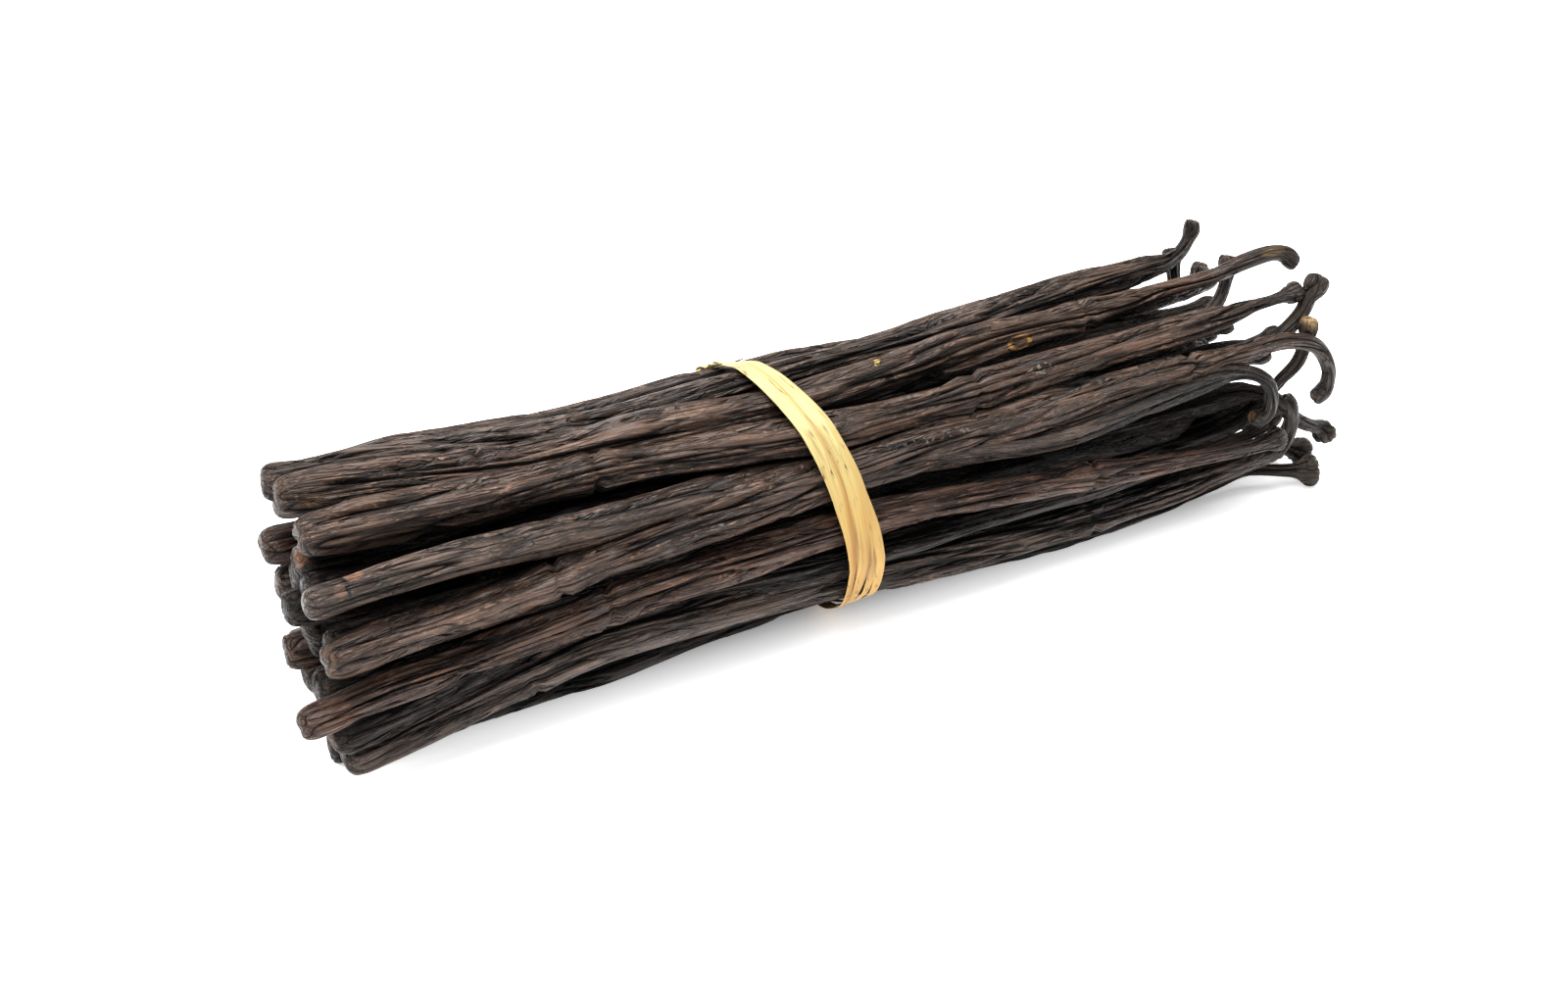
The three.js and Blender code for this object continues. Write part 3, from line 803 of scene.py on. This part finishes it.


# furrow is the colour that the painted shade takes in the creases
FINISHES = {
    "brown": skin_finish("brown pod skin", 0.32, furrow=(6, 4, 3), body=(56, 40, 30), ridge=(84, 62, 49),
                         stalk=(38, 31, 27), crust=(92, 68, 48)),
    "grey": skin_finish("grey pod skin", 0.3, furrow=(6, 5, 4), body=(53, 40, 32), ridge=(79, 62, 51),
                        stalk=(30, 25, 21), crust=(78, 65, 54)),
    "red brown": skin_finish("red-brown pod skin", 0.3, furrow=(6, 4, 3), body=(57, 37, 26),
                             ridge=(84, 57, 41), stalk=(39, 31, 26), crust=(94, 64, 44)),
    # painted shade: a darker copy of the skin for the pods that lie in shade; its stalk colour is the real
    # stalks'
    "shaded": skin_finish("shaded pod skin", 0.15, furrow=(4, 3, 2), body=(20, 15, 12), ridge=(36, 28, 24),
                        stalk=(58, 50, 44), crust=(84, 62, 46)),
}
print(len(FINISHES), "finishes")

# %% [markdown]
# ## Making the pods
#
# Each pod goes through the same hands: drawn out straight, subdivided, wrinkled with its own seed, bent
# along its route by a Curve modifier, and pressed flat where it lies on the surface. The pods of the outer
# ring get three levels of subdivision and the hidden ones inside get two.

# %% One pod


def make_pod(name, pod, seed):
    route, length = lay_route("route " + name, pod_points(pod))
    rings = [(x, radius, radius) for x, radius in pod_rings(pod, length)]
    piece = draw_out("pod_" + name, 10, rings)
    levels = 3 if pod["ring"] == "outer" else 2
    apply_modifier(piece, "SUBSURF", levels=levels, render_levels=levels)
    apply_group(piece, wrinkles, seed=seed, length=length, deep=pod["deep"],
                knuckle_1=pod["knuckles"][0], knuckle_2=pod["knuckles"][1], cleft=pod["cleft"])
    apply_modifier(piece, "CURVE", object=route, deform_axis="POS_X")
    apply_group(piece, settle, floor=0.0)
    bpy.data.objects.remove(route)
    take(piece)
    bpy.ops.object.shade_smooth()
    piece.data.materials.append(FINISHES[pod["skin"]])
    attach(piece, "root")
    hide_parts("vanilla_pods")
    return piece


pods = {name: make_pod(name, pod, 1.0 + 0.37 * i) for i, (name, pod) in enumerate(PODS.items())}
print(len(pods), "pods,", sum(len(piece.data.polygons) for piece in pods.values()) * 2, "triangles")

# %% [markdown]
# ## The inside
#
# Between the inner pods no light gets through. A short dark rod on the bundle's axis, with the same
# wrinkles and the darker skin of the shaded pods, is painted shade: it closes the gaps that would otherwise
# let the floor show through, and stays behind the pods that can be seen.

# %% The inside
INSIDE = [(-60, 3), (-54, 8), (-42, 11), (0, 11.5), (30, 11.5), (50, 11), (64, 10.5), (72, 9), (77, 4)]
inside = draw_out("inside_in_painted_shade", 16, [(x, radius, radius) for x, radius in INSIDE])
apply_modifier(inside, "SUBSURF", levels=2, render_levels=2)
apply_group(inside, wrinkles, seed=40.0, length=200, deep=1.6, knuckle_1=-90, knuckle_2=-90)
take(inside)
bpy.ops.transform.translate(value=AXIS * MM)
bpy.ops.object.transform_apply(location=True, rotation=True, scale=True)
bpy.ops.object.shade_smooth()
# painted shade: the rod takes the darker skin of the pods that lie in shade
inside.data.materials.append(FINISHES["shaded"])
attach(inside, "root")
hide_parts("vanilla_pods")
print("inside", round(inside.dimensions.x / MM), "mm long")

# %% [markdown]
# ## The raffia strap
#
# Raffia is a strip of dried palm leaf: thin, flat, pleated lengthwise, and split into strands where it is
# tied. It is pulled taut, so it runs straight from one pod to the next: its line is the tightest loop round
# the pods where it crosses them, their convex hull. Each strand is drawn out flat and bent along that loop,
# as a pod is along its route.

# %% The taut line round the pods
LEAN, LEAN_CLOCK = math.radians(12.3), math.radians(-46)
STRAP_REACH = 4.2  # pods this near to the strap's middle line, on either side, hold it up
KNOT_CLOCK = 152

section = []
for piece in pods.values():
    for vertex in piece.data.vertices:
        x, y, z = vertex.co / MM - AXIS
        lean = math.tan(LEAN) * (z * math.sin(LEAN_CLOCK) - y * math.cos(LEAN_CLOCK))
        if abs(x - STRAP_X - lean) < STRAP_REACH:
            section.append(Vector((y, z)))
hull = [section[i] for i in convex_hull_2d(section)]
print("the taut line is", round(sum((a - b).length for a, b in zip(hull, hull[1:] + hull[:1])), 1),
      "mm long")


def hull_distance(clock):
    """How far the taut line is from the axis at a clock angle."""
    angle = math.radians(clock)
    ray = Vector((-math.cos(angle), math.sin(angle)))
    best = 0
    for a, b in zip(hull, hull[1:] + hull[:1]):
        edge = b - a
        across = ray.x * edge.y - ray.y * edge.x
        if abs(across) > 1e-9:
            share = (ray.y * a.x - ray.x * a.y) / across
            if -1e-6 <= share <= 1 + 1e-6:
                best = max(best, (a + edge * share).dot(ray))
    return best


def strap_point(clock, aside, lift):
    """A point of the leaning strap, so far to the side of its middle line and off the pods."""
    smooth = sum(hull_distance(clock + turn) for turn in (-8, -4, 0, 4, 8)) / 5 + 0.12
    distance = max(hull_distance(clock), smooth) + lift
    lean = distance * math.tan(LEAN) * math.cos(math.radians(clock) - LEAN_CLOCK)
    return around_axis(STRAP_X + lean + aside, distance, clock) + AXIS


print("taut line", round(hull_distance(0), 2), "mm from the axis at the front")

# %% Pleats along the raffia
ANY_DEPTH = 1e6  # the grain is the same through a strand's thickness, so its cells are this deep

pleats, given, result = geometry_group("raffia pleats", "seed", "amber")
place = vector("SCALE", new_node("GeometryNodeInputPosition").outputs[0], scale=1000.0)
fibres = shifted(vector("DIVIDE", place, (22.0, 0.62, ANY_DEPTH)), (1.7, 3.1, 5.3), given["seed"])
waves = shifted(vector("DIVIDE", place, (14.0, 3.0, ANY_DEPTH)), (2.7, 1.1, 4.3), given["seed"])
pleat = number("ADD", number("MULTIPLY", signed_noise(fibres), 0.12),
               number("MULTIPLY", signed_noise(waves), 0.13))

from_knot, aside, _ = separate(place)
# amber marks the strands' folded side: partly the raffia's deeper golden tone, partly painted shade of the fold
towards_crease = number("ADD", aside, ramp(from_knot, 42.0, 58.0, 0.0, 0.9))
amber = number("MULTIPLY", ramp(towards_crease, 0.3, 1.3, 0.08, 1.0), given["amber"])
geometry = store(given["Geometry"], "fibre", "FLOAT_VECTOR", place)
geometry = store(geometry, "pleat", "FLOAT", pleat)
geometry = store(geometry, "amber", "FLOAT", amber)
put(result["Geometry"], move_points(geometry, combine(z=number("MULTIPLY", pleat, MM))))
print("pleat group has", len(pleats.nodes), "nodes")

# %% The raffia's finish
raffia, shader = new_material("dried raffia")
fibre = attribute("fibre", "Vector")
from_knot = separate(fibre)[0]


def fibre_noise(long, across, detail=0.0):
    return signed_noise(vector("DIVIDE", fibre, (long, across, ANY_DEPTH)), detail)


grain = ramp(fibre_noise(16.0, 0.16, 3.0), -0.5, 0.5)
splits = number("MULTIPLY", ramp(number("ABSOLUTE", fibre_noise(9.0, 0.7, 1.0)), 0.0, 0.09, 1.0, 0.0),
                ramp(fibre_noise(5.0, 2.0), 0.0, 0.25, 0.0, 0.85))
# the straw turns more golden from over the top down the front, and paler again underneath
in_front = ramp(from_knot, 76.0, 108.0, 1.0, 0.1)
golden_share = number("MULTIPLY", ramp(from_knot, 32.0, 60.0), in_front)
straw = blend_colours(golden_share, colour(186, 175, 122), colour(188, 150, 84))
straw = blend_colours(number("MULTIPLY", grain, 0.4), straw, colour(150, 126, 66))
# the amber colour: partly the raffia's own golden brown and partly painted shade along the fold
amber = chain("MULTIPLY", attribute("amber", "Fac"), ramp(from_knot, 36.0, 60.0, 0.5, 0.85), in_front)
straw = blend_colours(amber, straw, colour(140, 92, 34))
# painted shade: the pleats' hollows are darkened toward the same brown as the real splits
deep = ramp(attribute("pleat", "Fac"), -0.1, -0.02, 0.55, 0.0)
straw = blend_colours(number("MAXIMUM", deep, splits), straw, colour(84, 52, 22))
put(shader.inputs["Base Color"], straw)
shader.inputs["Roughness"].default_value = 0.5
shader.inputs["Specular IOR Level"].default_value = 0.25
add_bump(shader, grain, 0.5, 0.05)
print("raffia finish has", len(bench.nodes), "nodes")

# %% [markdown]
# A curve carries its own upright along it and turns it as little as it can, so a flat strip laid along a
# leaning loop ends up on its edge. The tilt of each of the curve's points puts that right: it is the angle
# from the carried upright to the way out from the bundle's axis.

# %% Turning a strand flat on the pods


def lay_flat(route):
    """Tilts a route's points so that what is bent along it lies flat round the bundle's axis."""
    upright, before = Vector((0, 0, 1)), None
    for knot in route.data.splines[0].bezier_points:
        ahead = (knot.handle_right - knot.co).normalized()
        if before:
            upright = before.rotation_difference(ahead) @ upright
        upright = upright - upright.project(ahead)
        outward = knot.co / MM - AXIS
        outward.x = 0
        outward = outward - outward.project(ahead)
        turn = upright.angle(outward)
        knot.tilt = turn if upright.cross(outward).dot(ahead) > 0 else -turn
        before = ahead


# %% One strand
HALF_THICKNESS = 0.1
STRAND_RINGS, ROUTE_STEP = 44, 6  # rings along a strand, and degrees from one point of its route to the next


def bend_strand(name, points, rings, sides, seed, amber):
    """A flat strand through points, with rings of (share of its length, half width)."""
    route, length = lay_route("route " + name, points)
    lay_flat(route)
    piece = draw_out(name, sides, [(share * length, half_width, HALF_THICKNESS) for share, half_width in rings])
    apply_modifier(piece, "SUBSURF", levels=2, render_levels=2)
    apply_group(piece, pleats, seed=seed, amber=amber)
    apply_modifier(piece, "CURVE", object=route, deform_axis="POS_X")
    bpy.data.objects.remove(route)
    take(piece)
    bpy.ops.object.shade_smooth()
    piece.data.materials.append(raffia)
    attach(piece, "root")
    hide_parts("raffia_tie")
    return piece


def make_strand(name, seed, lift, amber, line):
    """A strand once round the pods. Its line is (degrees down the front, aside, half width)."""
    asides = [(down, aside) for down, aside, wide in line]
    half_widths = [(down, wide) for down, aside, wide in line]
    downs = range(-KNOT_CLOCK, 361 - KNOT_CLOCK, ROUTE_STEP)
    points = [strap_point(-down, along(asides, down), lift) for down in downs]
    shares = [i / STRAND_RINGS for i in range(STRAND_RINGS + 1)]
    rings = [(share, along(half_widths, 360 * share - KNOT_CLOCK)) for share in shares]
    return bend_strand(name, points, rings, 16, seed, amber)


strands = [
    make_strand("strand_left", 1.0, 0.5, 1.0, [
        (-152, 0, 0.8), (-124, -1.4, 0.5), (-108, -1.0, 1.3), (-90, -0.72, 1.62), (-63, -0.95, 1.45),
        (-44, -1.0, 1.5), (-27, -1.2, 1.45), (-9, -1.8, 0.95), (12, -2.35, 0.55), (36, -2.6, 0.5),
        (52, -2.4, 0.4), (75, -0.9, 0.8), (208, 0, 0.8)]),
    make_strand("strand_middle", 2.0, 0.38, 0.4, [
        (-152, 0, 0.8), (-124, -1.4, 0.5), (-108, 0.4, 1.4), (-90, 1.3, 1.5), (-63, 1.6, 1.8),
        (-27, 1.5, 1.95), (-9, 0.6, 1.8), (6, 0.0, 1.5), (20, -0.6, 1.0), (34, -1.2, 0.65),
        (54, -1.8, 0.45), (75, -0.4, 0.7), (208, 0, 0.7)]),
    make_strand("strand_right", 3.0, 0.26, 0.25, [
        (-152, 0, 0.7), (-124, -1.2, 0.45), (-108, 0.5, 0.9), (-60, 1.6, 1.1), (-20, 1.7, 1.1),
        (6, 1.5, 0.9), (20, 1.25, 0.7), (34, 0.8, 0.55), (54, -1.1, 0.45), (75, 0, 0.6), (208, 0, 0.7)]),
    make_strand("strand_edge", 4.0, 0.24, 0.15, [
        (-152, 0, 0.7), (-124, -1.0, 0.45), (-108, 1.2, 0.8), (-60, 2.1, 1.1), (-27, 2.3, 1.15),
        (-9, 2.6, 1.0), (20, 2.65, 0.85), (40, 2.35, 0.7), (56, 1.3, 0.5), (75, 0.6, 0.6),
        (208, 0, 0.7)]),
]
print(len(strands), "strands, each", len(strands[0].data.polygons) * 2, "triangles")

# %% [markdown]
# Behind, where the strands' ends meet, a flat knot closes the strap. It isn't seen from the front. Two
# short strands cross over the strap, a third is wound across them, and a frayed fibre stands off where the
# strap is twisted.

# %% The knot and the frayed fibre


def short_strand(name, seed, stops, half_width, amber=0.4):
    """A short strand through stops of (clock, aside, lift)."""
    shares = [(0, 0.4), (0.1, 0.8), (0.3, 1), (0.7, 1), (0.9, 0.8), (1, 0.4)]
    rings = [(share, half_width * wide) for share, wide in shares]
    return bend_strand(name, [strap_point(*stop) for stop in stops], rings, 12, seed, amber)


knot = [
    short_strand("knot_rising", 5.0, [(146, -2.2, 0.5), (149, -1.4, 1.2), (152, 0, 1.5), (155, 1.8, 1.2),
                                      (158, 3.6, 0.5), (159, 6.2, 0.4)], 0.7),
    short_strand("knot_falling", 6.0, [(158, -2.2, 0.5), (155, -1.4, 1.0), (152, 0, 1.3), (149, 1.8, 1.0),
                                       (145, 3.6, 0.5), (141, 5.6, 0.4)], 0.75),
    short_strand("knot_across", 7.0, [(146, 0.3, 0.5), (148, 0.1, 1.6), (152, 0, 1.95), (156, -0.1, 1.6),
                                      (158, -0.3, 0.5)], 1.5),
    short_strand("frayed_fibre", 8.0, [(119, -1.6, 0.6), (121, -2.3, 1.1), (122, -3.2, 1.1),
                                       (122, -4.2, 0.5)], 0.5, 4.0),
    short_strand("frayed_end", 9.0, [(122, -1.9, 0.6), (124, -2.7, 1.0), (124, -3.3, 0.9),
                                     (122, -3.8, 0.4)], 0.45, 7.0),
]
print(len(knot), "pieces at the knot and the twist")
